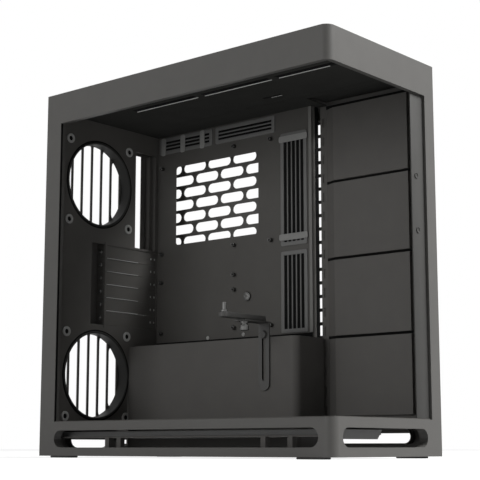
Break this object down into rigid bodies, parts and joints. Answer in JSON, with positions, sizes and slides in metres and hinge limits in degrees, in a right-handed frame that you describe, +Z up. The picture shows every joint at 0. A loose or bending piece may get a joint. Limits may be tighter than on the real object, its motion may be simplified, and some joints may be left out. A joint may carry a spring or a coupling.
{
  "type": "computer case",
  "caption": "Open-sided tower computer case with slotted plinth, deep top band, rear fan grilles, motherboard tray, power-supply shroud and graphics-card support",
  "frame": {"origin": "on the floor under the middle of the case", "axes": "+Z up, -Y the front, -X the open left side, Y along the depth"},
  "size_m": [0.246, 0.526, 0.54],
  "materials": {
    "shell_coat": "fine satin powder coat, dark warm grey",
    "inner_coat": "satin black-grey powder coat",
    "support_coat": "satin dark grey coat",
    "bright_metal": "dark plated steel",
    "black_rubber": "matt moulded rubber",
    "strap_fabric": "grey hook-and-loop tape",
    "filter_plastic": "fine textured plastic",
    "filter_net": "fine nylon net"
  },
  "bodies": {
    "chassis": {"base_skirt": "shell_coat", "rear_left_post": "shell_coat", "rear_right_post": "shell_coat", "front_right_post": "shell_coat", "top_hood": "shell_coat", "right_side_panel": "shell_coat", "rear_panel": "shell_coat", "top_vent_panel": "shell_coat", "floor_pan": "inner_coat", "psu_pan": "inner_coat", "rear_wall": "inner_coat", "psu_wall": "inner_coat", "port_jamb": "inner_coat", "motherboard_tray": "inner_coat", "psu_shroud": "inner_coat", "side_fan_bracket": "inner_coat", "top_fan_bracket": "inner_coat", "glass_seat_strip": "inner_coat", "slot_ledge": "inner_coat", "slot_bar": "inner_coat", "upper_fan_ring": "inner_coat", "lower_fan_ring": "inner_coat", "filter_rail_left": "inner_coat", "filter_rail_right": "inner_coat", "slot_cover_1": "inner_coat", "slot_cover_2": "inner_coat", "slot_cover_3": "inner_coat", "slot_cover_4": "inner_coat", "slot_cover_5": "inner_coat", "slot_cover_6": "inner_coat", "fan_cover_1": "inner_coat", "fan_cover_2": "inner_coat", "fan_cover_3": "inner_coat", "fan_cover_4": "inner_coat", "clamp_screw": "bright_metal", "standoffs": "bright_metal", "slot_screws": "bright_metal", "tray_thumbscrew": "bright_metal", "foot_front_left": "black_rubber", "foot_front_right": "black_rubber", "foot_rear_left": "black_rubber", "foot_rear_right": "black_rubber", "fan_mount_grommets": "black_rubber", "seat_pads": "black_rubber", "cable_grommet_top_rear": "black_rubber", "cable_grommet_top_front": "black_rubber", "cable_grommet_side_upper": "black_rubber", "cable_grommet_side_lower": "black_rubber", "top_straps": "strap_fabric", "side_straps": "strap_fabric", "io_module": "filter_plastic", "io_ports": "filter_plastic"},
    "filter": {"filter_frame": "filter_plastic", "filter_mesh": "filter_net"},
    "support_bracket": {"gpu_bracket": "support_coat", "gpu_knob": "bright_metal"},
    "support_arm": {"gpu_arm": "support_coat", "support_post": "bright_metal"},
    "button": {"power_button": "filter_plastic"}
  },
  "joints": [
    {"name": "filter_slide", "type": "slide", "parent": "chassis", "child": "filter", "axis": [0, -1, 0], "range_m": [0, 0.42]},
    {"name": "bracket_slide", "type": "slide", "parent": "chassis", "child": "support_bracket", "axis": [0, 0, 1], "range_m": [0, 0.06]},
    {"name": "arm_swivel", "type": "hinge", "parent": "support_bracket", "child": "support_arm", "pos_m": [-0.01, -0.031, 0.194], "axis": [0, 0, 1], "range_deg": [-100, 100]},
    {"name": "power_press", "type": "slide", "parent": "chassis", "child": "button", "axis": [0, 0, -1], "range_m": [0, 0.0012], "stiffness_N_per_m": 500}
  ]
}
